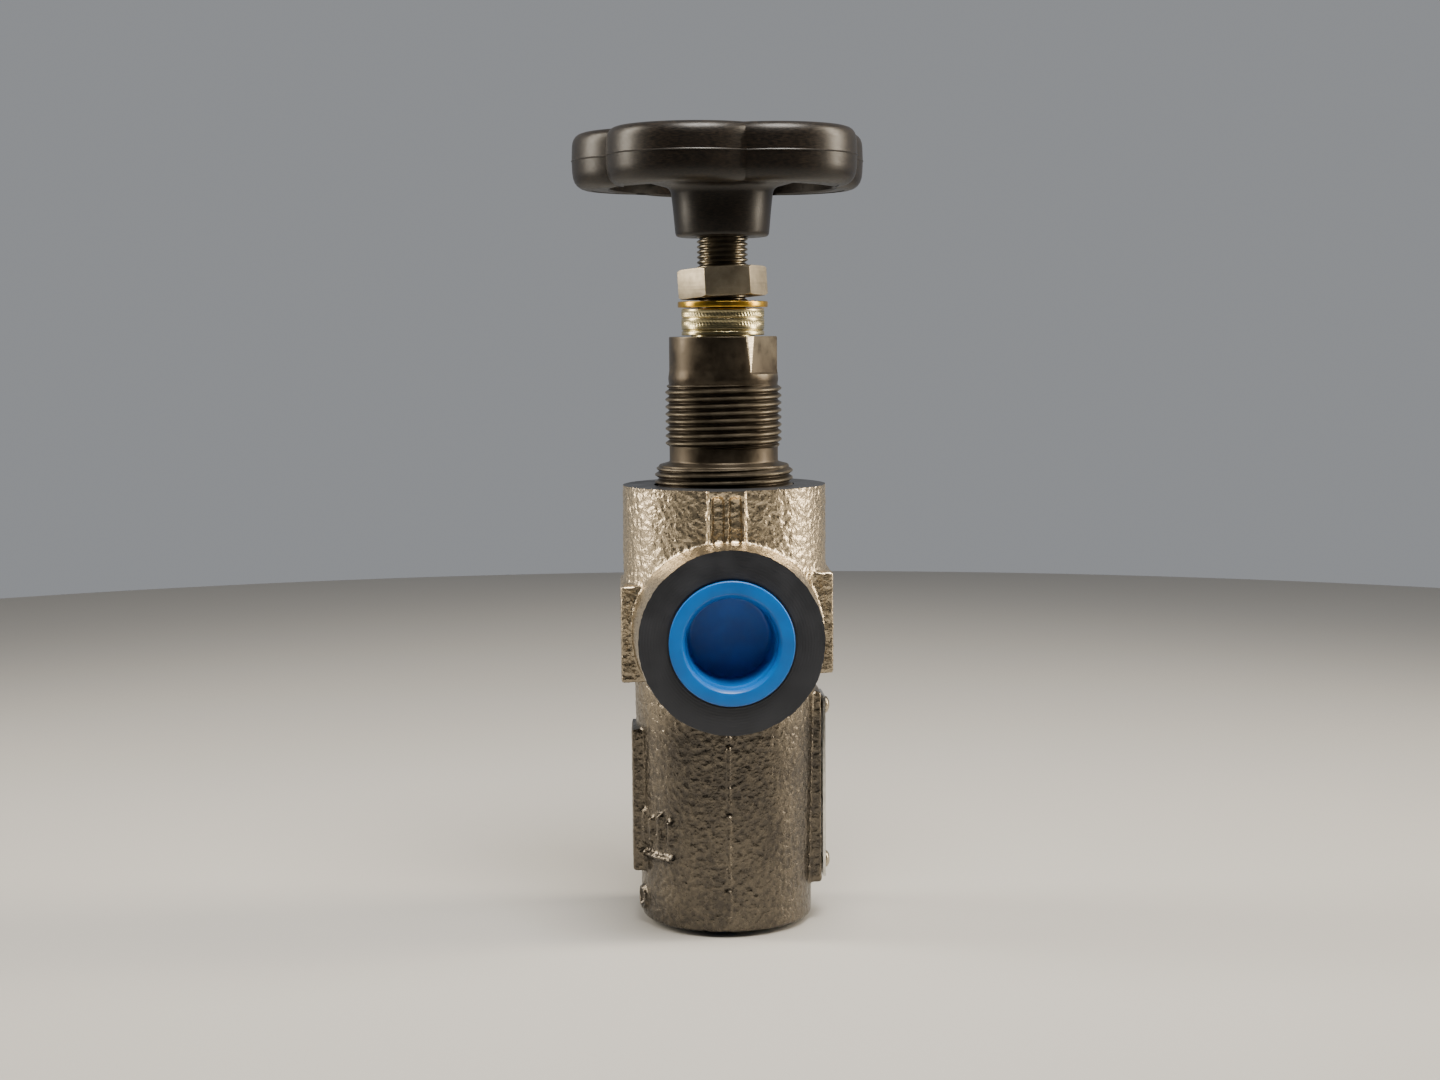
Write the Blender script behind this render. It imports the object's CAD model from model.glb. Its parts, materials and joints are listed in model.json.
"""The visual model of a needle valve: a cast body, a screwed bonnet with its stem, and a lobed handwheel.

Laid out as an add-on and run as a script. Blender's lengths are metres. Sections of pieces are written in
millimetres, and MM or scaled() turns them into metres. Heights are above the foot of the valve.
"""

import json
import math

import bmesh
import bpy
from mathutils import Matrix, Vector, noise

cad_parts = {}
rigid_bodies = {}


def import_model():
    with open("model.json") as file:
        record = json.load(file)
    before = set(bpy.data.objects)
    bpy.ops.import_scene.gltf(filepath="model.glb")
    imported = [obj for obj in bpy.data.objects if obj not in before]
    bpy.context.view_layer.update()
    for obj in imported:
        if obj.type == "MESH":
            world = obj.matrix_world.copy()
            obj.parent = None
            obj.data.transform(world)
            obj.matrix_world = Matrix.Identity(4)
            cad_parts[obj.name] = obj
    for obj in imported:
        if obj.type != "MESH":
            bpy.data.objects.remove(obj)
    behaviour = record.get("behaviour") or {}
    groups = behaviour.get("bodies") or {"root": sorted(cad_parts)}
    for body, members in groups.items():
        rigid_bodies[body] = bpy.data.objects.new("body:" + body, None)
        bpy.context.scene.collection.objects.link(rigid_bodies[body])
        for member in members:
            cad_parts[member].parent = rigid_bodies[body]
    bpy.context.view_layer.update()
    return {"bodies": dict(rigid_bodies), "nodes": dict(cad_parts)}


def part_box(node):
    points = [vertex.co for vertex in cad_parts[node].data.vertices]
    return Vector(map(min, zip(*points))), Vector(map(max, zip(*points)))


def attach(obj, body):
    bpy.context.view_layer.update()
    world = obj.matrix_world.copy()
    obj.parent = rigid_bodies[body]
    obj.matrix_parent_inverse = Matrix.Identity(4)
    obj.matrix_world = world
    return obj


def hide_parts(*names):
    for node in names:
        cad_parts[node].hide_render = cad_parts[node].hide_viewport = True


bl_info = {
    "name": "Needle Valve",
    "version": (1, 0, 0),
    "blender": (4, 5, 0),
    "location": "View3D > Sidebar > Valve",
    "description": "Builds a cast needle valve with a lobed handwheel round its packed frame",
    "category": "Add Mesh",
}

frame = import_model()

MM = 0.001
SAME_PLACE = 1e-7

# Heights between which the casting goes from oiled and dull to clean
OILED_BELOW, CLEAN_ABOVE = 0.05, 0.085

# Material slots: the piece's own skin, and the faces that two kinds of cut leave
SLOTS = 3
FIRST_CUT, SECOND_CUT = 1, 2

# Turns from +Z to the front port, the nameplate and the bottom port
FORWARD = Matrix.Rotation(math.pi / 2, 4, "X")
SIDEWAYS = Matrix.Rotation(math.pi / 2, 4, "Y")
DOWNWARD = Matrix.Rotation(math.pi, 4, "X")

# A thread's section over one turn: (part of the pitch, part of the depth)
THREAD_FORM = ((0.0, 0.0), (0.2, 0.0), (0.38, 0.5), (0.56, 1.0), (0.64, 1.0), (0.82, 0.5))

# The casting's lower barrel, a taper between two (radius, height) in millimetres
BARREL_FOOT = (21.45, 1.3)
BARREL_SHOULDER = (22.95, 63.6)

# Directions round the stem's axis, from +X
LOBE_TURN = math.radians(-118.1)
FLAT_TURN = math.radians(-33.4)
NUT_TURN = math.radians(4.6)
NUT_UPHILL = math.radians(-34.6)


# Settings


def linear(code):
    """The linear RGBA colour of an sRGB hex code."""
    parts = [int(code[i : i + 2], 16) / 255 for i in (1, 3, 5)]
    return tuple(c / 12.92 if c <= 0.04045 else ((c + 0.055) / 1.055) ** 2.4 for c in parts) + (1.0,)


def length(name, description, default):
    return bpy.props.FloatProperty(
        name=name, description=description, default=default, unit="LENGTH", precision=5
    )


def colour(name, description, code):
    return bpy.props.FloatVectorProperty(
        name=name, description=description, default=linear(code), size=4, subtype="COLOR"
    )


class ValveSizes(bpy.types.PropertyGroup):
    stem_pitch: length("Stem pitch", "Lift of the stem in one turn", 1.27 * MM)
    bonnet_pitch: length("Bonnet pitch", "Pitch of the panel and collar threads", 1.814 * MM)
    port_pitch: length("Port pitch", "Pitch of the pipe threads in both ports", 1.814 * MM)
    cast_voxel: length("Casting voxel", "Fineness of the casting's mesh", 0.42 * MM)
    cast_grain: length("Casting grain", "Size of the sand's marks on the casting", 1.3 * MM)
    cast_relief: length("Casting relief", "Depth of the sand's marks", 0.17 * MM)
    seam_height: length("Seam height", "Height of the moulding and parting lines", 0.16 * MM)
    lobe_count: bpy.props.IntProperty(name="Lobes", description="Lobes of the handwheel", default=5)
    knurl_count: bpy.props.IntProperty(name="Knurl teeth", description="Teeth round the bush", default=72)


class ValveColours(bpy.types.PropertyGroup):
    casting: colour("Casting", "Zinc plate on cast iron, where it is clean", "#C0B197")
    casting_low: colour("Oiled casting", "Zinc plate on cast iron, where oil dulled it", "#4C4843")
    machined: colour("Machined iron", "Faced cast iron under oil", "#424449")
    phosphated: colour("Phosphated steel", "Manganese phosphate and oil", "#3B342B")
    steel: colour("Turned steel", "Bright zinc-plated steel", "#AAA08C")
    brass: colour("Brass", "Pale turned brass", "#D2C59A")
    gold: colour("Yellow zinc", "Yellow-passivated zinc", "#D5A53C")
    phenolic: colour("Phenolic", "Black moulded phenolic", "#0B0908")
    dust: colour("Dust", "Brown dust in the phenolic's scratches", "#4A3B2A")
    polyethylene: colour("Polyethylene", "Blue moulded polyethylene", "#0369C0")
    rubber: colour("Rubber", "Black nitrile rubber", "#161616")
    ptfe: colour("PTFE", "White turned PTFE", "#E8E6DF")
    aluminium: colour("Aluminium", "Bright rolled aluminium", "#D4D2CC")
    floor: colour("Floor", "Pale studio floor", "#ADACA9")


def sizes():
    return bpy.context.scene.valve_sizes


def colours():
    return bpy.context.scene.valve_colours


# Mesh tools


def box_of(node):
    """The CAD node's two extreme corners, in metres."""
    low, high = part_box(node)
    return Vector(low), Vector(high)


def box_in_mm(node):
    return (corner / MM for corner in box_of(node))


def mid_height(node):
    low, high = box_of(node)
    return (low.z + high.z) / 2


def shaded(tone, share):
    """A colour with this share of its brightness."""
    return tuple(c * share for c in tone[:3]) + (1.0,)


def scaled(corners):
    """Millimetres to metres, for (radius, height, rounding) corners."""
    return [(r * MM, z * MM, c * MM) for r, z, c in corners]


def rounded(corners, steps=4):
    """The closed outline through (radius, height, rounding) corners. The rounding is how far along its sides
    a corner is cut off."""
    outline = []
    for i, (radius, height, cut) in enumerate(corners):
        here = Vector((radius, height))
        before, after = Vector(corners[i - 1][:2]), Vector(corners[(i + 1) % len(corners)][:2])
        start = here + (before - here).normalized() * cut
        end = here + (after - here).normalized() * cut
        for step in range(steps + 1 if cut else 1):
            t = step / steps
            outline.append(start * (1 - t) ** 2 + here * 2 * t * (1 - t) + end * t**2)
    return outline


def spot(radius, angle, height):
    return (radius * math.cos(angle), radius * math.sin(angle), height)


def ring(shape, radius, height, sides):
    """A ring of vertices, or one vertex at radius 0. The radius may be a function of the angle."""
    if not callable(radius) and radius < SAME_PLACE:
        return [shape.verts.new((0, 0, height))]
    angles = [math.tau * i / sides for i in range(sides)]
    reach = radius if callable(radius) else lambda angle: radius
    return [shape.verts.new(spot(reach(a), a, height)) for a in angles]


def skin(shape, loops, closed=True):
    """Faces from each loop of vertices to the next, and from the last to the first if closed."""
    for here, after in zip(loops, loops[1:] + loops[:1] if closed else loops[1:]):
        for i in range(max(len(here), len(after))):
            corners = [here[i % len(here)], here[(i + 1) % len(here)]]
            corners += [after[(i + 1) % len(after)], after[i % len(after)]]
            corners = list(dict.fromkeys(corners))
            if len(corners) > 2:
                shape.faces.new(corners)


def turn(shape, outline, sides=96, closed=True):
    """Adds a piece turned about Z to the shape."""
    skin(shape, [ring(shape, radius, height, sides) for radius, height in outline], closed)


def turned(corners, sides=96):
    """A closed turned piece from its rounded section, in millimetres."""
    shape = bmesh.new()
    turn(shape, rounded(scaled(corners)), sides)
    return shape


def turn_open(shape, corners, sides):
    """Adds a band turned about Z with two open ends, from its section in millimetres."""
    turn(shape, rounded(scaled(corners)), sides, closed=False)


def thread_radius(height, deep, low, high, outside, depth, lead_in, taper):
    """A thread's radius at a height where its form is this deep. An end with a lead-in is cut to the root."""
    cone = outside + taper * (height - low)
    if height in (low, high):
        return cone - (depth if lead_in[0 if height == low else 1] else 0)
    radius = cone - depth * deep
    for reach, away in zip(lead_in, (height - low, high - height)):
        if reach:
            radius = min(radius, cone - depth + away * depth / reach)
    return radius


def add_thread(shape, low, high, outside, depth, pitch, sides, lead_in, taper=0.0):
    """Adds an open band of right-hand thread about Z. Its ends are plain rings: lead_in says how far each end
    is cut down to the thread's root, and taper how fast the radius grows with height."""
    turns = math.ceil((high - low) / pitch) + 1
    form = [(whole + part, deep) for whole in range(-1, turns) for part, deep in THREAD_FORM]
    columns = []
    for i in range(sides):
        angle = math.tau * i / sides
        column = []
        for part, deep in form:
            height = min(max(low + (part + i / sides) * pitch, low), high)
            radius = thread_radius(height, deep, low, high, outside, depth, lead_in, taper)
            column.append(shape.verts.new(spot(radius, angle, height)))
        columns.append(column)
    join_turns(shape, columns)


def join_turns(shape, columns):
    """Faces between a thread's columns of vertices. The last column meets the first one turn higher up."""
    for i, here in enumerate(columns):
        wraps = i == len(columns) - 1
        there = columns[0] if wraps else columns[i + 1]
        rise = len(THREAD_FORM) * wraps
        for j in range(len(here) - 1):
            if j + 1 + rise < len(there):
                shape.faces.new([here[j], there[j + rise], there[j + 1 + rise], here[j + 1]])


def weld(shape):
    """Closes the seams between bands that were made side by side, and points all faces out."""
    bmesh.ops.remove_doubles(shape, verts=shape.verts, dist=SAME_PLACE)
    bmesh.ops.dissolve_degenerate(shape, edges=shape.edges, dist=SAME_PLACE)
    bmesh.ops.recalc_face_normals(shape, faces=shape.faces)


def block(low, high):
    """A box between two corners."""
    shape = bmesh.new()
    corners = [(low[0], low[1]), (high[0], low[1]), (high[0], high[1]), (low[0], high[1])]
    bottom, top = [[shape.verts.new((x, y, z)) for x, y in corners] for z in (low[2], high[2])]
    for i in range(4):
        shape.faces.new([bottom[i - 1], bottom[i], top[i], top[i - 1]])
    shape.faces.new(bottom)
    shape.faces.new(top)
    return shape


def helper(shape, matrix=None, index=0):
    """A scene object from a shape. index is the material slot of its faces."""
    if matrix:
        shape.transform(matrix)
    bmesh.ops.recalc_face_normals(shape, faces=shape.faces)
    for face in shape.faces:
        face.material_index = index
    mesh = bpy.data.meshes.new("helper")
    shape.to_mesh(mesh)
    shape.free()
    for _ in range(SLOTS):
        mesh.materials.append(None)
    made = bpy.data.objects.new("helper", mesh)
    bpy.context.scene.collection.objects.link(made)
    return made


def modify(target, kind, **settings):
    step = target.modifiers.new(kind.title(), kind)
    for name, value in settings.items():
        setattr(step, name, value)


def bevel(target, width, from_angle):
    """Rounds the target's edges that are sharper than an angle in degrees."""
    modify(
        target, "BEVEL", width=width, segments=2, limit_method="ANGLE", angle_limit=math.radians(from_angle)
    )
    bake(target)


def bake(target):
    """Applies the target's modifiers to its mesh and removes the helpers that they used."""
    tools = [m.object for m in target.modifiers if m.type == "BOOLEAN"]
    evaluated = target.evaluated_get(bpy.context.evaluated_depsgraph_get())
    mesh = bpy.data.meshes.new_from_object(evaluated)
    target.modifiers.clear()
    target.data = mesh
    for tool in tools:
        bpy.data.objects.remove(tool, do_unlink=True)


def combine(target, *tools, operation="DIFFERENCE"):
    """Cuts helpers out of the target, or joins them to it."""
    for tool in tools:
        modify(target, "BOOLEAN", object=tool, operation=operation, solver="MANIFOLD")
    bake(target)


def finish_piece(target, name, body, surfaces, nodes, sharp=35):
    """Names the piece, shades it, gives it its materials and says which CAD nodes it stands for. Edges turn
    sharp above an angle in degrees."""
    target.name = name
    target.data.name = name
    target.data.shade_smooth()
    target.data.set_sharp_from_angle(angle=math.radians(sharp))
    used = [min(face.material_index, len(surfaces) - 1) for face in target.data.polygons]
    target.data.materials.clear()
    for key in surfaces:
        target.data.materials.append(material(key))
    target.data.polygons.foreach_set("material_index", used)
    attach(target, body)
    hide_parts(*nodes)


# Materials


def add(tree, kind, inputs=None, **settings):
    """Adds a shader node with its settings. An input is linked if it is given a socket, and set if not."""
    made = tree.nodes.new("ShaderNode" + kind)
    for name, value in settings.items():
        setattr(made, name, value)
    for name, value in (inputs or {}).items():
        if isinstance(value, bpy.types.NodeSocket):
            tree.links.new(value, made.inputs[name])
        else:
            made.inputs[name].default_value = value
    return made


def start(name, base, metallic, roughness, **others):
    """A new material with its even values on the shader: (material, tree, shader, object coordinates)."""
    made = bpy.data.materials.new(name)
    made.use_nodes = True
    tree = made.node_tree
    shader = tree.nodes["Principled BSDF"]
    for socket, value in {"Base Color": base, "Metallic": metallic, "Roughness": roughness, **others}.items():
        shader.inputs[socket].default_value = value
    return made, tree, shader, add(tree, "TexCoord").outputs["Object"]


def tint(tree, shader, factor, first, second):
    """Paints the shader's base colour between two colours by a factor."""
    mix = add(tree, "Mix", {0: factor, 6: first, 7: second}, data_type="RGBA")
    tree.links.new(mix.outputs[2], shader.inputs["Base Color"])
    return mix.outputs[2]


def spread(tree, value, low, high, start_at=0.35, end_at=0.65):
    """Maps a noise value, which stays near its middle, onto a full range."""
    inputs = {"Value": value, "From Min": start_at, "From Max": end_at, "To Min": low, "To Max": high}
    return add(tree, "MapRange", inputs).outputs["Result"]


def vary_roughness(tree, shader, value, low, high):
    tree.links.new(spread(tree, value, low, high), shader.inputs["Roughness"])


def mottle(tree, place, size, detail=2.0, roughness=0.5):
    """Noise whose marks are about this size in metres, as a socket."""
    inputs = {"Vector": place, "Scale": 1 / size, "Detail": detail, "Roughness": roughness}
    return add(tree, "TexNoise", inputs).outputs["Fac"]


def roughen(tree, shader, height, distance, strength=1.0):
    bump = add(tree, "Bump", {"Height": height, "Distance": distance, "Strength": strength})
    tree.links.new(bump.outputs["Normal"], shader.inputs["Normal"])


def sand_cast_iron():
    """Zinc plate over sand-cast iron. The sand leaves a coarse orange-peel grain whose sides glint. Oil has
    dulled the lower half."""
    tone = colours()
    made, tree, shader, place = start("sand_cast_iron_zinc_plated", tone.casting, 1.0, 0.36)
    grain = mottle(tree, place, 1.3 * MM, 1.5)
    fine = mottle(tree, place, 0.5 * MM, 1.0)
    stain = mottle(tree, place, 14 * MM, 4.0, 0.6)
    speckle = add(tree, "Math", {0: stain, 1: grain}, operation="ADD").outputs[0]
    height = add(tree, "SeparateXYZ", {"Vector": place}).outputs["Z"]
    oiled = spread(tree, height, 0, 0.86, OILED_BELOW, CLEAN_ABOVE)
    mottled = spread(tree, speckle, 0, 0.14, 0.8, 1.2)
    clean = add(tree, "Math", {0: mottled, 1: oiled}, operation="ADD").outputs[0]
    tint(tree, shader, clean, tone.casting_low, tone.casting)
    vary_roughness(tree, shader, fine, 0.38, 0.26)
    relief = add(tree, "Math", {0: fine, 1: 0.3, 2: grain}, operation="MULTIPLY_ADD").outputs[0]
    roughen(tree, shader, relief, 0.27 * MM)
    return made


def faced_iron(name, centre, axis):
    """Cast iron faced on a lathe and left bare under oil: dark grey with fine rings from the tool."""
    tone = colours()
    made, tree, shader, place = start(name, tone.machined, 0.7, 0.48)
    around = add(tree, "Mapping", {"Vector": place, "Location": [-c for c in centre]}).outputs["Vector"]
    rings = add(
        tree, "TexWave", {"Vector": around, "Scale": 1 / (2.2 * MM), "Distortion": 0.4, "Detail": 2.0},
        wave_type="RINGS", rings_direction=axis,
    )
    stain = mottle(tree, place, 6 * MM, 6.0)
    vary_roughness(tree, shader, stain, 0.34, 0.55)
    tint(tree, shader, spread(tree, stain, 0, 1), shaded(tone.machined, 0.88), tone.machined)
    roughen(tree, shader, rings.outputs["Fac"], 0.02 * MM, 0.6)
    return made


def phosphated_steel():
    """Machined steel with a manganese phosphate coat under oil: near black and soft, paler where handling has
    worn its edges."""
    tone = colours()
    made, tree, shader, place = start("phosphated_steel_oiled", tone.phosphated, 0.85, 0.4)
    stain = mottle(tree, place, 5 * MM, 6.0, 0.65)
    worn = add(tree, "NewGeometry").outputs["Pointiness"]
    edge = spread(tree, worn, 0, 0.7, 0.51, 0.6)
    steel = shaded(tone.steel, 0.55)
    mottled = tint(tree, shader, spread(tree, stain, 0, 0.12), tone.phosphated, steel)
    tint(tree, shader, edge, mottled, steel)
    vary_roughness(tree, shader, stain, 0.3, 0.5)
    crystals = mottle(tree, place, 0.15 * MM)
    roughen(tree, shader, crystals, 0.01 * MM, 0.5)
    return made


def turned_metal(name, base, roughness):
    """Metal from a lathe: fine marks that run round the piece, and faint stains from fingers and coolant."""
    made, tree, shader, place = start(name, base, 1.0, roughness)
    along = add(tree, "Mapping", {"Vector": place, "Scale": (20.0, 20.0, 4000.0)}).outputs["Vector"]
    marks_round = mottle(tree, along, 1.0, 3.0)
    stain = mottle(tree, place, 4 * MM, 5.0, 0.6)
    tint(tree, shader, spread(tree, stain, 0, 1), shaded(base, 0.65), base)
    vary_roughness(tree, shader, marks_round, roughness - 0.06, roughness + 0.1)
    roughen(tree, shader, marks_round, 0.012 * MM, 0.5)
    return made


def yellow_zinc():
    """Yellow-passivated zinc plate on pressed steel: gold, with a shift to olive and rose where the film is
    thicker."""
    tone = colours()
    made, tree, shader, place = start("yellow_zinc_passivated", tone.gold, 1.0, 0.3)
    film = mottle(tree, place, 3 * MM, 3.0)
    tint(tree, shader, spread(tree, film, 0, 1), linear("#8E7A35"), tone.gold)
    roughen(tree, shader, mottle(tree, place, 0.3 * MM, 3.0), 0.02 * MM, 0.5)
    return made


def moulded_phenolic():
    """Compression-moulded black phenolic: a soft gloss skin with a faint ripple and fine handling scratches
    that hold brown dust."""
    tone = colours()
    others = {"IOR": 1.5, "Specular IOR Level": 0.34}
    made, tree, shader, place = start("moulded_phenolic_black", tone.phenolic, 0.0, 0.36, **others)
    ripple = mottle(tree, place, 2.5 * MM)
    across = add(tree, "Mapping", {"Vector": place, "Scale": (900.0, 900.0, 6000.0)}).outputs["Vector"]
    scratches = mottle(tree, across, 1.0, roughness=0.6)
    vary_roughness(tree, shader, scratches, 0.32, 0.42)
    tint(tree, shader, spread(tree, scratches, 0, 0.22, 0.4, 0.7), tone.phenolic, tone.dust)
    both = add(tree, "Math", {0: ripple, 1: scratches}, operation="ADD").outputs[0]
    roughen(tree, shader, both, 0.02 * MM, 0.6)
    return made


def moulded_polyethylene():
    """Injection-moulded blue polyethylene: waxy, a little translucent at thin rims, with a satin skin."""
    tone = colours()
    others = {"IOR": 1.51, "Subsurface Weight": 0.06, "Subsurface Scale": 0.002}
    made, tree, shader, place = start("moulded_polyethylene_blue", tone.polyethylene, 0.0, 0.36, **others)
    shader.inputs["Subsurface Radius"].default_value = (0.15, 0.5, 1.0)
    cloud = mottle(tree, place, 7 * MM, 3.0)
    tint(tree, shader, spread(tree, cloud, 0, 1), shaded(tone.polyethylene, 0.8), tone.polyethylene)
    satin = mottle(tree, place, 0.5 * MM, 3.0)
    vary_roughness(tree, shader, satin, 0.32, 0.44)
    roughen(tree, shader, satin, 0.01 * MM, 0.5)
    return made


def moulded_soft(name, base, roughness, ior):
    """A moulded or turned seal: rubber or PTFE, matte with a fine even texture."""
    made, tree, shader, place = start(name, base, 0.0, roughness, IOR=ior)
    speck = mottle(tree, place, 0.2 * MM)
    paler = tuple(min(1.0, c * 1.4 + 0.01) for c in base[:3]) + (1.0,)
    tint(tree, shader, spread(tree, speck, 0, 0.6), base, paler)
    roughen(tree, shader, speck, 0.01 * MM, 0.6)
    return made


def rolled_aluminium():
    """Thin rolled aluminium: bright, brushed along its length, with small dents that catch the light."""
    tone = colours()
    made, tree, shader, place = start("rolled_aluminium", tone.aluminium, 1.0, 0.28)
    along = add(tree, "Mapping", {"Vector": place, "Scale": (4000.0, 4000.0, 60.0)}).outputs["Vector"]
    vary_roughness(tree, shader, mottle(tree, along, 1.0, 3.0), 0.2, 0.42)
    dents = mottle(tree, place, 1.5 * MM)
    tint(tree, shader, spread(tree, dents, 0, 0.4), tone.aluminium, linear("#8F8A80"))
    roughen(tree, shader, dents, 0.05 * MM, 0.6)
    return made


def swept_floor():
    """Painted studio floor: pale and even, with a slight unevenness that softens reflections."""
    made, tree, shader, place = start("painted_floor", colours().floor, 0.0, 0.6)
    vary_roughness(tree, shader, mottle(tree, place, 1 / 3, 4.0), 0.55, 0.7)
    return made


MATERIALS = {
    "cast": sand_cast_iron,
    "phosphated": phosphated_steel,
    "gold": yellow_zinc,
    "phenolic": moulded_phenolic,
    "polyethylene": moulded_polyethylene,
    "plate": rolled_aluminium,
    "floor": swept_floor,
    "faced_top": lambda: faced_iron("faced_cast_iron_top", (0, 0, 0), "Z"),
    "faced_front": lambda: faced_iron("faced_cast_iron_front", (0, 0, port_height()), "Y"),
    "steel": lambda: turned_metal("turned_steel_zinc_plated", colours().steel, 0.3),
    "milled_steel": lambda: turned_metal("milled_steel_zinc_plated", colours().steel, 0.46),
    "dark_steel": lambda: turned_metal("turned_steel_oiled", shaded(colours().steel, 0.5), 0.32),
    "brass": lambda: turned_metal("turned_brass", colours().brass, 0.26),
    "rubber": lambda: moulded_soft("moulded_nitrile_rubber", colours().rubber, 0.55, 1.52),
    "ptfe": lambda: moulded_soft("turned_ptfe", colours().ptfe, 0.5, 1.35),
}
made_materials = {}


def material(key):
    """The material of this key, made when it is first asked for."""
    if key not in made_materials:
        made_materials[key] = MATERIALS[key]()
    return made_materials[key]


# The casting


def port_height():
    return mid_height("front_port_plug")


def front_port():
    """Takes a piece made along +Z to the front port's face."""
    return Matrix.Translation((0, box_of("valve_body")[0].y, port_height())) @ FORWARD


def bottom_port():
    """Takes a piece made along +Z to the bottom port's face."""
    return Matrix.Translation((0, 0, box_of("valve_body")[0].z)) @ DOWNWARD


def lump(low, high):
    """A rough block of the casting between two corners in millimetres."""
    return block([v * MM for v in low], [v * MM for v in high])


def slotted_pad():
    """The pad over the boss: a low plate, three ribs on it and a bar across their tops."""
    left, right, foot, top = -5.0, 3.9, 94, 112.3
    root, plate, rib = -18, -25.75, -26.95
    shapes = [lump((left, plate, foot), (right, root, top))]
    for side, other in ((left, -4.1), (-1.15, 0.05), (3.0, right)):
        shapes.append(lump((side, rib, foot), (other, root, top)))
    shapes.append(lump((left, rib, 109.4), (right, root, top)))
    return shapes


def rough_casting():
    """The casting's solids before the sand grain: barrel, boss, two ears, two pads and the slotted pad."""
    top = box_of("valve_body")[1].z / MM + 1.5
    head = 25.45
    barrel = [
        (0, top, 0), (head, top, 0), (head, 67.4, 0.8),
        (*BARREL_SHOULDER, 0.8), (*BARREL_FOOT, 0.9), (0, BARREL_FOOT[1], 0),
    ]
    boss = [(0, 38.5, 0), (22.05, 38.5, 0), (23.7, 10, 0), (0, 10, 0)]
    stub = Matrix.Translation((0, 0, port_height())) @ FORWARD
    shapes = [
        lump((-26.2, -14, 62.8), (-10, 14, 86.7)),
        lump((10, -14, 64.5), (26.2, 14, 89.7)),
        lump((10, -7, 10), (23.85, 7, 58.7)),
        lump((-23.85, -8, 13.9), (-10, 8, 50)),
    ]
    parts = [helper(turned(barrel)), helper(turned(boss), stub)]
    return parts + [helper(shape) for shape in shapes + slotted_pad()]


def taper_radius(height):
    """The lower barrel's radius, in millimetres, at a height in millimetres."""
    (narrow, foot), (wide, shoulder) = BARREL_FOOT, BARREL_SHOULDER
    return narrow + (wide - narrow) * (height - foot) / (shoulder - foot)


def raised_mark(angle, height, path, width, proud=1.1):
    """A raised bar, in millimetres, along a path of (degrees, rise) about a place on the barrel. A path that
    ends where it starts makes a ring."""
    sunk, top_share = 1.5, 0.7
    shape = bmesh.new()
    points = []
    for turn_by, rise in path:
        out = Vector(spot(1, math.radians(angle + turn_by), 0))
        points.append((out * taper_radius(height + rise) + Vector((0, 0, height + rise)), out))
    closed = (points[0][0] - points[-1][0]).length < 0.01
    if closed:
        points.pop()
    last = len(points) - 1
    loops = []
    for i, (point, out) in enumerate(points):
        before = points[i - 1 if closed else max(i - 1, 0)][0]
        after = points[(i + 1) % len(points) if closed else min(i + 1, last)][0]
        side = (after - before).cross(out).normalized() * width / 2
        foot, top = point - out * sunk, point + out * proud
        section = [foot + side, foot - side, top - side * top_share, top + side * top_share]
        loops.append([shape.verts.new(corner * MM) for corner in section])
    skin(shape, loops, closed)
    if not closed:
        shape.faces.new(loops[0])
        shape.faces.new(loops[-1])
    return shape


def circle_path(radius):
    """A ring of (degrees, millimetres) on the barrel's foot, as wide as it is high."""
    barrel, steps = 21.8, 14
    around = [math.tau * i / steps for i in range(steps + 1)]
    return [(math.degrees(radius / barrel) * math.cos(a), radius * math.sin(a)) for a in around]


def marks():
    """Plain foundry marks: an underlined group of bars, a ring, and the parting line down front and back."""
    shapes = []
    for angle, reach in ((-158, 4.2), (-149, 3.0), (-140, 4.2), (-131, 3.0)):
        shapes.append(raised_mark(angle, 25.5, [(0, -reach), (0, reach)], width=2.1))
    underline = [(step * 3.6, 0) for step in range(-5, 6)]
    shapes.append(raised_mark(-146, 18.7, underline, width=1.6))
    shapes.append(raised_mark(-166, 6.6, circle_path(2.6), width=1.4))
    for angle in (-91.0, 90):
        for low, high in ((4, 12), (13.5, 31), (33, 48), (49.5, 53)):
            shapes.append(raised_mark(angle, 0, [(0, low), (0, high)], width=1.1, proud=0.95))
    return [helper(shape) for shape in shapes]


def sand_grain(target):
    """Moves the casting's surface in and out by tenths of a millimetre, as moulding sand leaves it."""
    grain, relief = sizes().cast_grain, sizes().cast_relief
    smooth_below, rise = 45 * MM, 35 * MM
    vertices = target.data.vertices
    normals = [vert.normal.copy() for vert in vertices]
    for vert, normal in zip(vertices, normals):
        place = vert.co / grain
        sand = noise.noise(place) + 0.5 * noise.noise(place * 2.1)
        swell = 0.8 * noise.noise(place * 0.17)
        rough = 0.6 + 0.4 * min(max((vert.co.z - smooth_below) / rise, 0), 1)
        vert.co += normal * (sand + swell) * relief * rough


def port_thread(matrix):
    """The cutter of a tapered pipe thread and the passage behind it, along +Z out of the port's face at 0."""
    depth, spot_face, passage = 22 * MM, 0.3 * MM, 24 * MM
    end, cut, sides = 12.2 * MM, 1.0 * MM, 96
    bore, mouth, clear = 9.2 * MM, 15.5 * MM, 3 * MM
    taper = 0.4 / 22
    top = end + cut + taper * (depth - spot_face)
    shape = bmesh.new()
    add_thread(shape, -depth, -spot_face, end + cut, cut, sizes().port_pitch, sides, (2 * MM, 0), taper)
    turn(shape, [(0, -passage), (bore, -passage), (bore, -depth), (end, -depth)], sides, closed=False)
    turn(shape, [(top, -spot_face), (mouth, -spot_face), (mouth, clear), (0, clear)], sides, closed=False)
    weld(shape)
    return helper(shape, matrix, FIRST_CUT)


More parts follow.
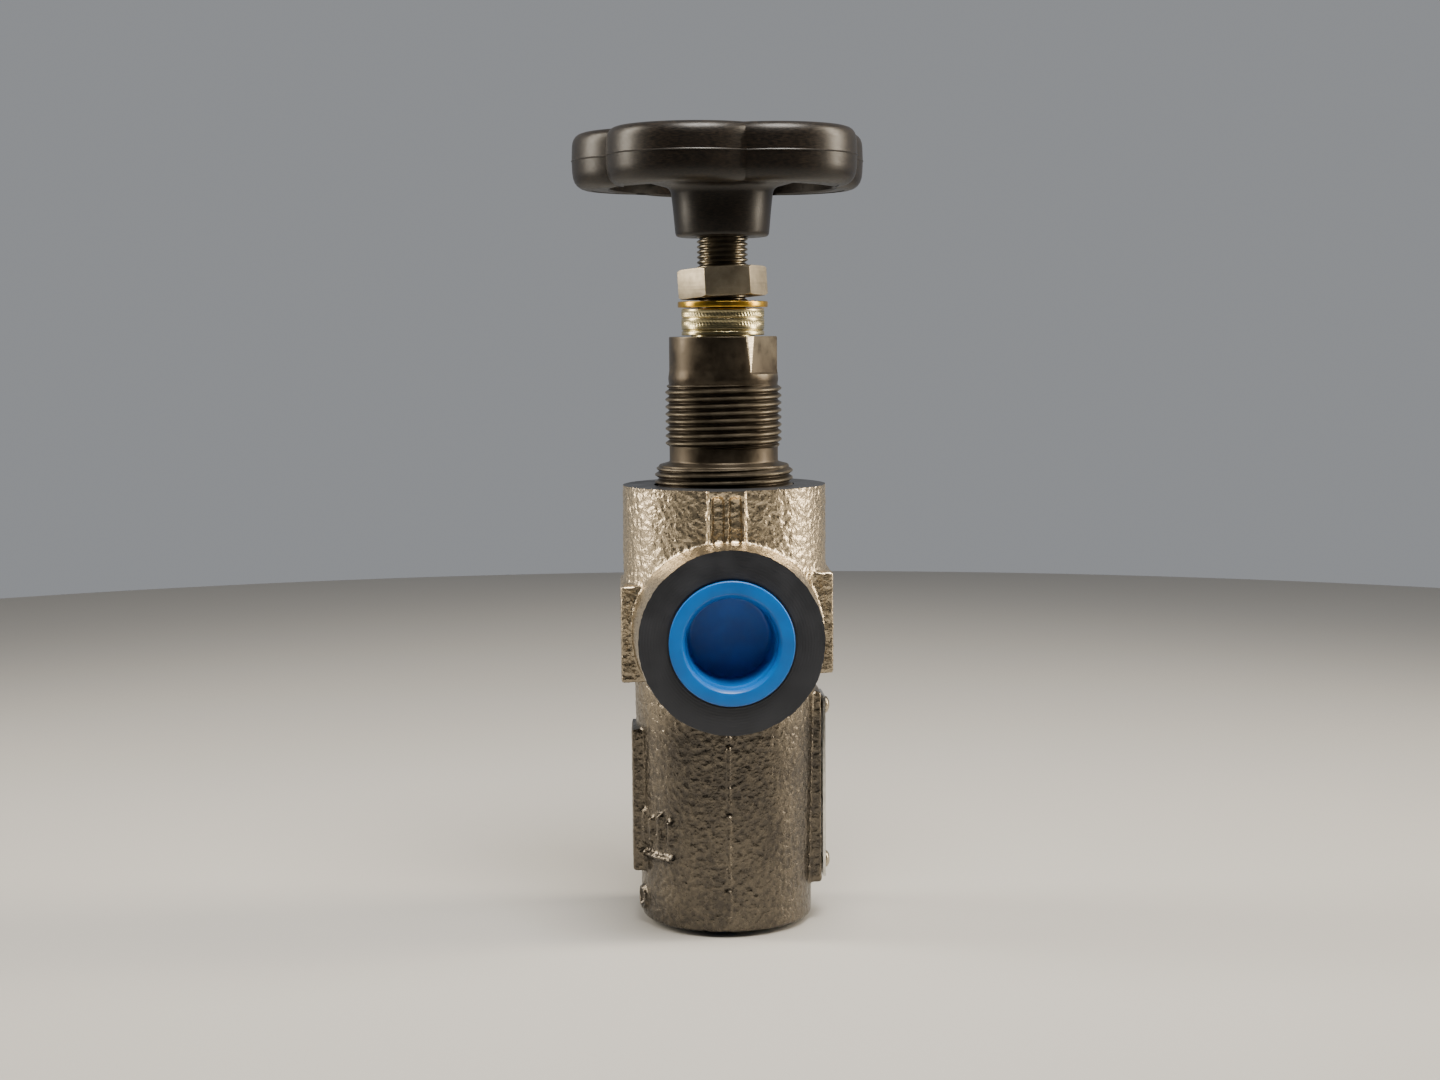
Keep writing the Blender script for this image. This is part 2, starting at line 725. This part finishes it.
def cast_body():
    """The casting as it leaves the mould: one closed mesh with the sand's grain."""
    parts = rough_casting() + marks()
    body = parts[0]
    with bpy.context.temp_override(active_object=body, selected_editable_objects=parts):
        bpy.ops.object.join()
    modify(body, "REMESH", mode="VOXEL", voxel_size=sizes().cast_voxel, adaptivity=0.0)
    modify(body, "SMOOTH", factor=0.5, iterations=9)
    bake(body)
    sand_grain(body)
    return body


def casting():
    """The body: the casting with three faces machined, both ports threaded and the inside bored."""
    body = cast_body()
    low, high = box_of("valve_body")
    wide, deep = 40 * MM, 9 * MM
    well = [
        (0, 130, 0), (17.6, 130, 0), (17.6, 92, 0), (14, 92, 0.5), (14, 62, 0),
        (11.5, 62, 0), (11.5, 54, 0), (9, 54, 0.5), (9, 20, 0), (0, 20, 0),
    ]
    passage = [(0, 0, 0), (9.5, 0, 0), (9.5, -35, 0), (0, -35, 0)]
    combine(
        body,
        helper(block((-wide, -wide, high.z), (wide, wide, high.z + deep)), index=FIRST_CUT),
        helper(block((-wide, low.y - deep, 40 * MM), (wide, low.y, 110 * MM)), index=SECOND_CUT),
        helper(block((-wide, -wide, -deep), (wide, wide, low.z)), index=FIRST_CUT),
        port_thread(front_port()),
        port_thread(bottom_port()),
        helper(turned(well), index=FIRST_CUT),
        helper(turned(passage), front_port(), FIRST_CUT),
    )
    surfaces = ["cast", "faced_top", "faced_front"]
    finish_piece(body, "casting", "valve", surfaces, ["valve_body"], sharp=50)


# Bonnet and bush


def bonnet_flats():
    """Cutters for the two milled flats, and for the strip beside each where the coating is worn to steel."""
    across, foot, top = 20 * MM, 138.4 * MM, 150 * MM
    lean = Matrix.Rotation(-0.042, 4, "Y")
    lean = Matrix.Translation((0, 0, foot)) @ lean @ Matrix.Translation((0, 0, -foot))
    cutters = []
    for side in (0, math.pi):
        flat = block((11.86 * MM, -across, foot), (across, across, top))
        cutters.append(helper(flat, Matrix.Rotation(FLAT_TURN + side, 4, "Z")))
        worn = block((13.17 * MM, -across, foot), (across, across, top))
        beside = Matrix.Rotation(FLAT_TURN - math.radians(16) + side, 4, "Z")
        cutters.append(helper(worn, beside @ lean, FIRST_CUT))
    return cutters


def bonnet():
    """The phosphated bonnet with its two true threads, its relief neck and its two flats."""
    shape = bmesh.new()
    pitch, sides = sizes().bonnet_pitch, 128
    panel, collar, cut = 14.55, 17.3, 0.95
    neck = [
        (panel - cut, 120.1, 0), (13.6, 119.6, 0), (13.6, 116.5, 0.5),
        (16.2, 115.8, 0.2), (collar - cut, 115.4, 0),
    ]
    bore_and_barrel = [
        (collar - cut, 92.3, 0), (13.7, 92.3, 0), (13.7, 91.4, 0), (11.7, 91.4, 0.2), (11.7, 89.0, 0.2),
        (13.7, 89.0, 0), (13.7, 88.0, 0.4), (9.1, 88.0, 0.3), (9.1, 130.0, 0), (8.3, 130.0, 0.2),
        (8.3, 147.7, 0.3), (13.5, 147.7, 0.35), (13.5, 139.3, 0.5), (13.8, 137.2, 0.6),
        (panel - cut, 135.9, 0),
    ]
    turn_open(shape, neck, sides)
    add_thread(shape, 120.1 * MM, 135.9 * MM, panel * MM, cut * MM, pitch, sides, (0.9 * MM, 0.6 * MM))
    turn_open(shape, bore_and_barrel, sides)
    add_thread(shape, 92.3 * MM, 115.4 * MM, collar * MM, cut * MM, pitch, sides, (0.9 * MM, 0.7 * MM))
    weld(shape)
    made = helper(shape)
    combine(made, *bonnet_flats())
    surfaces = ["phosphated", "steel"]
    finish_piece(made, "bonnet_screwed", "valve", surfaces, ["bonnet"], sharp=28)


def finer(outline, radius):
    """The outline with a point every quarter millimetre outside a radius, for fine teeth to follow."""
    dense = []
    for here, after in zip(outline, outline[1:] + outline[:1]):
        outside = here.x > radius and after.x > radius
        steps = max(1, round((after - here).length / (0.25 * MM))) if outside else 1
        dense += [here.lerp(after, step / steps) for step in range(steps)]
    return dense


def bush():
    """The brass bush: two turned grooves and two bands of fine knurling on its barrel."""
    radius, _, top = box_of("stem_bush")[1] / MM
    teeth = sizes().knurl_count
    tooth, slant = 0.16 * MM, 0.35 * MM
    bands = ((top - 4.1, top - 3.1), (top - 1.9, top - 0.8))
    outline = rounded(scaled([
        (radius, top, 0.4), (radius, top - 2.0, 0.12), (radius - 0.3, top - 2.2, 0.1),
        (radius, top - 2.4, 0.12), (radius, 149.5, 0.12), (radius - 0.4, 149.2, 0.15),
        (radius, 148.9, 0.12), (radius, 148.0, 0.25), (8.0, 148.0, 0), (8.0, 130.3, 0.3),
        (6.45, 130.3, 0.2), (6.45, top, 0.4),
    ]))

    def knurled(place):
        if not any(a * MM <= place.y <= b * MM for a, b in bands) or place.x < (radius - 0.1) * MM:
            return place.x
        return lambda angle: place.x - tooth * (0.5 + 0.5 * math.cos(angle * teeth + place.y / slant))

    shape = bmesh.new()
    dense = finer(outline, 10 * MM)
    skin(shape, [ring(shape, knurled(place), place.y, teeth * 4) for place in dense])
    finish_piece(helper(shape), "stem_bush_turned", "valve", ["brass"], ["stem_bush"])


# Seat, needle and seals


def simple_turned(name, body, key, corners):
    """A turned piece that stands for the CAD node of the same name."""
    finish_piece(helper(turned(corners)), name + "_turned", body, [key], [name])


def seat():
    simple_turned("seat_ring", "valve", "steel", [
        (11.2, 62.0, 0.3), (11.2, 59.1, 0.1), (9.45, 59.1, 0.2), (9.45, 56.9, 0.2), (11.2, 56.9, 0.1),
        (11.2, 54.3, 0.4), (7.5, 54.3, 0.3), (6.0, 59.0, 0.5), (6.0, 62.0, 0.15),
    ])


def o_ring(name, body):
    """A seal of round section that fills the CAD ring's box."""
    low, high = box_of(name)
    thick = (high.z - low.z) / 2
    middle, height = high.x - thick, (low.z + high.z) / 2
    around = [math.tau * i / 24 for i in range(24)]
    shape = bmesh.new()
    turn(shape, [(middle + thick * math.cos(a), height + thick * math.sin(a)) for a in around])
    finish_piece(helper(shape), name + "_moulded", body, ["rubber"], [name])


def needle_and_swivel():
    simple_turned("needle", "needle_slide", "steel", [
        (6.2, 126.0, 0.2), (9.0, 126.0, 0.4), (9.0, 107.5, 0.1), (6.95, 107.5, 0.2), (6.95, 102.9, 0.2),
        (9.0, 102.9, 0.1), (9.0, 73.15, 0.3), (8.0, 72.15, 0.3), (1.0, 54.83, 0.6), (0, 54.83, 0),
        (0, 112.0, 0), (6.2, 112.0, 0.5), (6.2, 121.9, 0), (7.2, 121.9, 0), (7.2, 124.1, 0), (6.2, 124.1, 0),
    ])
    simple_turned("swivel_ring", "needle_slide", "steel", [
        (6.9, 123.8, 0.15), (6.9, 122.2, 0.15), (4.8, 122.2, 0.15), (4.8, 123.8, 0.15),
    ])
    simple_turned("needle_backup_ring", "needle_slide", "ptfe", [
        (8.9, 107.1, 0.15), (8.9, 105.8, 0.15), (7.25, 105.8, 0.15), (7.25, 107.1, 0.15),
    ])


# Stem, washer and nuts


def stem_tip():
    """The threaded tip above the wheel's hexagon, for the wheel nut."""
    top = box_of("stem")[1].z / MM
    foot, end, sides = 189.0, top - 0.3, 64
    shape = bmesh.new()
    turn_open(shape, [(0, foot, 0), (3.3, foot, 0)], sides)
    add_thread(shape, foot * MM, end * MM, 3.9 * MM, 0.6 * MM, 1.0 * MM, sides, (0.3 * MM, 0.5 * MM))
    turn_open(shape, [(3.3, end, 0), (3.0, top, 0), (0, top, 0)], sides)
    weld(shape)
    return helper(shape)


def stem():
    """The spindle: a true thread from the bush up to the hub, the wheel's hexagon and a threaded tip."""
    shape = bmesh.new()
    pitch, sides = sizes().stem_pitch, 96
    outside, cut = 6.35, 0.76
    below = [
        (outside - cut, 131.0, 0), (5.6, 130.5, 0), (5.8, 130.0, 0), (5.8, 124.1, 0.2), (4.5, 124.1, 0.2),
        (4.5, 121.9, 0.2), (5.8, 121.9, 0.2), (5.8, 113.0, 0.5), (0, 113.0, 0),
    ]
    above = [(outside - cut, 173.0, 0), (outside, 173.2, 0), (outside, 174.0, 0.2), (0, 174.0, 0)]
    turn_open(shape, below, sides)
    add_thread(shape, 131 * MM, 173 * MM, outside * MM, cut * MM, pitch, sides, (0.8 * MM, 0.4 * MM))
    turn_open(shape, above, sides)
    weld(shape)
    made = helper(shape)
    drive = [(0, 189.6, 0), (5.2, 189.6, 0.3), (5.2, 173.5, 0), (0, 173.5, 0)]
    combine(made, helper(turned(drive, 6)), stem_tip(), operation="UNION")
    finish_piece(made, "stem_threaded", "spindle", ["dark_steel"], ["stem"], sharp=28)


def hexagon_nut(corner, half, chamfer, turn_by=0.0):
    """A hexagon nut about Z, in millimetres, its corners chamfered by a cone at top and bottom."""
    prism = [(0, half, 0), (corner, half, 0), (corner, -half, 0), (0, -half, 0)]
    nut = helper(turned(prism, 6), Matrix.Rotation(turn_by, 4, "Z"))
    flat, reach, edge = corner - chamfer, corner + chamfer * 0.2, half - chamfer * 0.7
    cone = [
        (0, half, 0), (flat, half, 0), (reach, edge, 0),
        (reach, -edge, 0), (flat, -half, 0), (0, -half, 0),
    ]
    combine(nut, helper(turned(cone, 128)), operation="INTERSECT")
    return nut


def lock_nut():
    """The jam nut: chamfered, a little askew on the stem, with an upright bore."""
    middle = Matrix.Translation((0, 0, mid_height("lock_nut")))
    nut = hexagon_nut(11.2, 3.6, 0.7, NUT_TURN)
    across = Vector(spot(1, NUT_UPHILL, 0)).cross((0, 0, 1))
    nut.data.transform(middle @ Matrix.Rotation(math.radians(3.5), 4, across))
    bore = [
        (0, 8, 0), (8.4, 8, 0), (8.4, 5.2, 0), (6.45, 3.0, 0),
        (6.45, -3.0, 0), (8.4, -5.2, 0), (8.4, -8, 0), (0, -8, 0),
    ]
    combine(nut, helper(turned(bore), middle))
    bevel(nut, 0.12 * MM, 30)
    finish_piece(nut, "lock_nut_chamfered", "jam_nut", ["milled_steel"], ["lock_nut"], 30)


def washer():
    """The yellow washer under the lock nut."""
    low, high = box_in_mm("seal_washer")
    simple_turned("seal_washer", "washer", "gold", [
        (high.x, high.z, 0.35), (high.x, low.z, 0.35), (6.45, low.z, 0.1), (6.45, high.z, 0.1),
    ])


# Handwheel


def lobed(angle, inset):
    """The rim's outline: equal arcs that meet in a crease, as a radius from the axis."""
    spacing = math.tau / sizes().lobe_count
    off_centre = (angle - LOBE_TURN + spacing / 2) % spacing - spacing / 2
    centre, arc = 16.875 * MM, 20.625 * MM
    return centre * math.cos(off_centre) + math.sqrt(arc**2 - (centre * math.sin(off_centre)) ** 2) - inset


def rim_loops(shape, sides):
    """Loops round the rim: up its drafted, lobed outside, with a seam half way, and down its bore."""
    low, high = 184.0, 198.0
    parting, seam = 191.2, sizes().seam_height / MM
    section = [
        (4.8, low, 0.2), (0.35, low, 4.3), (0.0, parting - 0.2, 0), (-seam, parting, 0),
        (0.0, parting + 0.2, 0), (0.25, high, 3.3), (4.4, high, 0.2),
    ]
    bore = ((28.4, high), (28.0, high - 0.4), (28.0, low + 0.4), (28.4, low))
    first = 0.5 * sides / sizes().lobe_count
    angles = [LOBE_TURN + math.tau * (i + first) / sides for i in range(sides)]
    loops = []
    for point in rounded(scaled(section), 6):
        loops.append([shape.verts.new(spot(lobed(a, point.x), a, point.y)) for a in angles])
    for radius, height in bore:
        loops.append([shape.verts.new(spot(radius * MM, a, height * MM)) for a in angles])
    return loops


def window_outline(grow):
    """One window as (millimetres, radians) from the axis, grown at its inner edge and at both sides."""
    inner, outer, half = 19.6 - grow, 28.0, math.radians(25.5) + grow / 24
    sweep = [-1 + 2 * i / 12 for i in range(13)]
    corners = []
    for part in sweep:
        bulge = 1.4 * max(0, abs(part) - 0.82) / 0.18
        corners.append((inner + bulge, part * half))
    return corners + [(outer, -part * half) for part in sweep]


def window_cutter(turn_by):
    """Cuts one window through the web. It widens at both faces, which leaves rounded edges."""
    shape = bmesh.new()
    lower = ((183, 2.2), (186.3, 0.9), (186.9, 0.3), (187.6, 0.0))
    upper = ((189.0, 0.0), (189.6, 0.3), (190.0, 0.9), (191.5, 2.4))
    loops = []
    for height, grow in lower + upper:
        corners = [spot(r * MM, a + turn_by, height * MM) for r, a in window_outline(grow)]
        loops.append([shape.verts.new(corner) for corner in corners])
    skin(shape, loops, closed=False)
    shape.faces.new(loops[0])
    shape.faces.new(loops[-1])
    return helper(shape)


def handwheel():
    """The moulded wheel: lobed rim with a seam, a dished web with windows, and the hub with its flare."""
    shape = bmesh.new()
    lobes = sizes().lobe_count
    skin(shape, rim_loops(shape, 56 * lobes))
    wheel = helper(shape)
    web = [
        (8.8, 190.0, 0.3), (24.0, 190.0, 0), (28.9, 190.0, 0), (28.9, 187.2, 0), (24, 186.8, 1),
        (19.0, 186.0, 1.0), (12.8, 184.4, 1.6), (12.2, 179.0, 1.0), (11.6, 172.3, 1.1),
        (6.65, 172.3, 0.3), (6.65, 174.0, 0), (8.8, 174.0, 0),
    ]
    combine(wheel, helper(turned(web, 120)), operation="UNION")
    combine(wheel, *[window_cutter(LOBE_TURN + math.tau / lobes * i) for i in range(lobes)])
    finish_piece(wheel, "handwheel_moulded", "spindle", ["phenolic"], ["handwheel"], 32)


def wheel_fixings():
    """The hub's brass insert with its hexagon bore, and the washer and nut that hold the wheel on."""
    low, high = box_in_mm("handwheel_insert")
    above, below = high.z + 1, low.z - 1
    insert = helper(turned([(0, high.z, 0), (8.5, high.z, 0.3), (8.5, low.z, 0.3), (0, low.z, 0)]))
    bore = [(0, above, 0), (5.45, above, 0), (5.45, below, 0), (0, below, 0)]
    combine(insert, helper(turned(bore, 6)))
    finish_piece(insert, "hub_insert", "spindle", ["brass"], ["handwheel_insert"])
    simple_turned("wheel_washer", "spindle", "steel", [
        (9.5, 191.5, 0.25), (9.5, 190.3, 0.15), (4.2, 190.3, 0.1), (4.2, 191.5, 0.15),
    ])
    low, high = box_in_mm("wheel_nut")
    nut = hexagon_nut(7.5, (high.z - low.z) / 2, 1.0)
    nut.data.transform(Matrix.Translation((0, 0, mid_height("wheel_nut"))))
    above, below = high.z + 1, low.z - 1
    bore = [
        (0, above, 0), (5.4, above, 0), (4.2, high.z - 0.6, 0),
        (4.2, low.z + 0.6, 0), (5.4, below, 0), (0, below, 0),
    ]
    combine(nut, helper(turned(bore, 64)))
    finish_piece(nut, "wheel_nut_chamfered", "spindle", ["steel"], ["wheel_nut"], sharp=30)


# Plugs and nameplate


def port_plug(name, body, matrix):
    """A thin moulded cup with a flange, its mouth along +Z at 1.3 mm and a gate mark on its floor."""
    shape = turned([
        (14.95, 1.3, 0.4), (14.95, 0, 0.3), (12.25, 0, 0.2), (12.1, -5.0, 0.3), (11.85, -15.0, 0.8),
        (1.6, -15.0, 0), (1.2, -14.6, 0), (0, -14.6, 0), (0, -13.0, 0), (10.2, -13.0, 1.2),
        (10.5, -2.0, 0.4), (10.95, -1.4, 0.4), (11.05, 0.3, 0.3), (11.8, 1.3, 0.35),
    ], 128)
    made = helper(shape, matrix)
    finish_piece(made, name + "_moulded", body, ["polyethylene"], [name])


def nameplate():
    """The blank plate: thin rolled sheet with a pressed border and two drive screws."""
    low, high = box_of("nameplate")
    side, end, pressed = 1.1 * MM, 5.6 * MM, 0.12 * MM
    plate = helper(block(low, high))
    panel = block(
        (high.x - pressed, low.y + side, low.z + end), (high.x + MM, high.y - side, high.z - end)
    )
    hole = [(0, 2, 0), (1.4, 2, 0), (1.4, -2, 0), (0, -2, 0)]
    dome = [
        (0, 1.2, 0), (1.1, 1.2, 0.6), (2.2, 0.5, 0.4), (2.2, 0, 0.15),
        (1.1, 0, 0), (1.1, -4, 0.4), (0, -4, 0),
    ]
    screws = {name: mid_height(name) for name in ("lower_plate_screw", "upper_plate_screw")}
    holes = [
        helper(turned(hole, 32), Matrix.Translation((high.x, 0, height)) @ SIDEWAYS)
        for height in screws.values()
    ]
    combine(plate, helper(panel), *holes)
    bevel(plate, 0.15 * MM, 40)
    finish_piece(plate, "nameplate_blank", "valve", ["plate"], ["nameplate"])
    for name, height in screws.items():
        place = Matrix.Translation((high.x + 0.3 * MM, 0, height)) @ SIDEWAYS
        made = helper(turned(dome, 48), place)
        finish_piece(made, name + "_domed", "valve", ["steel"], [name])


# Stage


def area_light(name, place, size, power, tone):
    """A large soft light that faces the valve."""
    light = bpy.data.lights.new(name, "AREA")
    light.shape = "RECTANGLE"
    light.size, light.size_y = size
    light.energy = power
    light.color = linear(tone)[:3]
    light.spread = math.radians(100)
    made = bpy.data.objects.new(name, light)
    made.location = place
    middle = Vector((0, 0, 0.12))
    made.rotation_euler = (middle - Vector(place)).to_track_quat("-Z", "Y").to_euler()
    bpy.context.scene.collection.objects.link(made)


def studio_world():
    """A pale room that is darker on the camera's side."""
    world = bpy.context.scene.world or bpy.data.worlds.new("studio")
    bpy.context.scene.world = world
    world.use_nodes = True
    tree = world.node_tree
    back = tree.nodes["Background"]
    back.inputs["Color"].default_value = linear("#D5D8DD")
    facing = add(tree, "SeparateXYZ", {"Vector": add(tree, "TexCoord").outputs["Generated"]})
    tree.links.new(spread(tree, facing.outputs["Y"], 0.05, 0.42, -0.5, 0.6), back.inputs["Strength"])


def stage():
    """A pale floor, soft light from both sides and above, and the camera."""
    shape = bmesh.new()
    shape.faces.new(ring(shape, 0.8, 0.0, 256))
    floor = helper(shape)
    floor.name = "floor"
    floor.data.materials[0] = material("floor")
    studio_world()
    area_light("soft_left", (-0.7, 0.1, 0.42), (0.2, 0.7), 2.8, "#FFF3DF")
    area_light("soft_right", (0.7, 0.02, 0.4), (0.2, 0.7), 3.6, "#FFF0D8")
    area_light("soft_top", (0.08, -0.25, 0.8), (0.4, 0.3), 4.0, "#FFF8EE")
    place_camera()


def place_camera():
    """A short telephoto view from the front, a little to the left and above the ports."""
    camera = bpy.data.cameras.new("camera")
    camera.lens, camera.sensor_width = 54.1, 36.0
    camera.clip_start = 0.01
    made = bpy.data.objects.new("camera", camera)
    away, height, across = 0.543, 0.1489, 1.1 * MM
    aside, pitch, roll = math.radians(-2.4), math.radians(5.5), math.radians(-0.41)
    made.matrix_world = (
        Matrix.Translation((away * math.sin(aside) - across, -away * math.cos(aside), height))
        @ Matrix.Rotation(aside, 4, "Z")
        @ Matrix.Rotation(math.pi / 2 - pitch, 4, "X")
        @ Matrix.Rotation(roll, 4, "Z")
    )
    bpy.context.scene.collection.objects.link(made)
    bpy.context.scene.camera = made


# Operators, one for each group of pieces


class VALVE_OT_casting(bpy.types.Operator):
    """Cast the body: rough solids, sand grain, then the machined faces and bores"""

    bl_idname = "valve.casting"
    bl_label = "Casting"

    def execute(self, context):
        casting()
        return {"FINISHED"}


class VALVE_OT_trim(bpy.types.Operator):
    """Turn the seat, the needle and their seals"""

    bl_idname = "valve.trim"
    bl_label = "Seat and needle"

    def execute(self, context):
        seat()
        needle_and_swivel()
        o_ring("seat_o_ring", "valve")
        o_ring("bonnet_o_ring", "valve")
        o_ring("needle_o_ring", "needle_slide")
        return {"FINISHED"}


class VALVE_OT_bonnet(bpy.types.Operator):
    """Turn and thread the bonnet and the bush in it"""

    bl_idname = "valve.bonnet"
    bl_label = "Bonnet and bush"

    def execute(self, context):
        bonnet()
        bush()
        return {"FINISHED"}


class VALVE_OT_stem(bpy.types.Operator):
    """Thread the stem and fit its washer and lock nut"""

    bl_idname = "valve.stem"
    bl_label = "Stem and lock nut"

    def execute(self, context):
        stem()
        washer()
        lock_nut()
        return {"FINISHED"}


class VALVE_OT_handwheel(bpy.types.Operator):
    """Mould the handwheel and fit its insert, washer and nut"""

    bl_idname = "valve.handwheel"
    bl_label = "Handwheel"

    def execute(self, context):
        handwheel()
        wheel_fixings()
        return {"FINISHED"}


class VALVE_OT_plugs(bpy.types.Operator):
    """Mould the two port plugs"""

    bl_idname = "valve.plugs"
    bl_label = "Port plugs"

    def execute(self, context):
        port_plug("front_port_plug", "front_plug", front_port())
        port_plug("bottom_port_plug", "bottom_plug", bottom_port())
        return {"FINISHED"}


class VALVE_OT_nameplate(bpy.types.Operator):
    """Press the blank nameplate and drive in its screws"""

    bl_idname = "valve.nameplate"
    bl_label = "Nameplate"

    def execute(self, context):
        nameplate()
        return {"FINISHED"}


class VALVE_OT_stage(bpy.types.Operator):
    """Set the floor, the lights and the camera"""

    bl_idname = "valve.stage"
    bl_label = "Stage"

    def execute(self, context):
        stage()
        return {"FINISHED"}


class VALVE_PT_panel(bpy.types.Panel):
    """Lists the valve's operators and settings"""

    bl_idname = "VALVE_PT_panel"
    bl_label = "Needle Valve"
    bl_space_type = "VIEW_3D"
    bl_region_type = "UI"
    bl_category = "Valve"

    def draw(self, context):
        for operator in OPERATORS:
            self.layout.operator(operator.bl_idname)
        for group in (context.scene.valve_sizes, context.scene.valve_colours):
            for name in group.__annotations__:
                self.layout.prop(group, name)


OPERATORS = (
    VALVE_OT_casting,
    VALVE_OT_trim,
    VALVE_OT_bonnet,
    VALVE_OT_stem,
    VALVE_OT_handwheel,
    VALVE_OT_plugs,
    VALVE_OT_nameplate,
    VALVE_OT_stage,
)
CLASSES = (ValveSizes, ValveColours, *OPERATORS, VALVE_PT_panel)


def register():
    for each in CLASSES:
        bpy.utils.register_class(each)
    bpy.types.Scene.valve_sizes = bpy.props.PointerProperty(type=ValveSizes)
    bpy.types.Scene.valve_colours = bpy.props.PointerProperty(type=ValveColours)


def unregister():
    del bpy.types.Scene.valve_colours
    del bpy.types.Scene.valve_sizes
    for each in reversed(CLASSES):
        bpy.utils.unregister_class(each)


def clear_startup_objects():
    kept = set(frame["nodes"].values()) | set(frame["bodies"].values())
    for item in list(bpy.data.objects):
        if item not in kept:
            bpy.data.objects.remove(item, do_unlink=True)


def main():
    register()
    clear_startup_objects()
    bpy.ops.valve.casting()
    bpy.ops.valve.trim()
    bpy.ops.valve.bonnet()
    bpy.ops.valve.stem()
    bpy.ops.valve.handwheel()
    bpy.ops.valve.plugs()
    bpy.ops.valve.nameplate()
    bpy.ops.valve.stage()


if __name__ == "__main__":
    main()
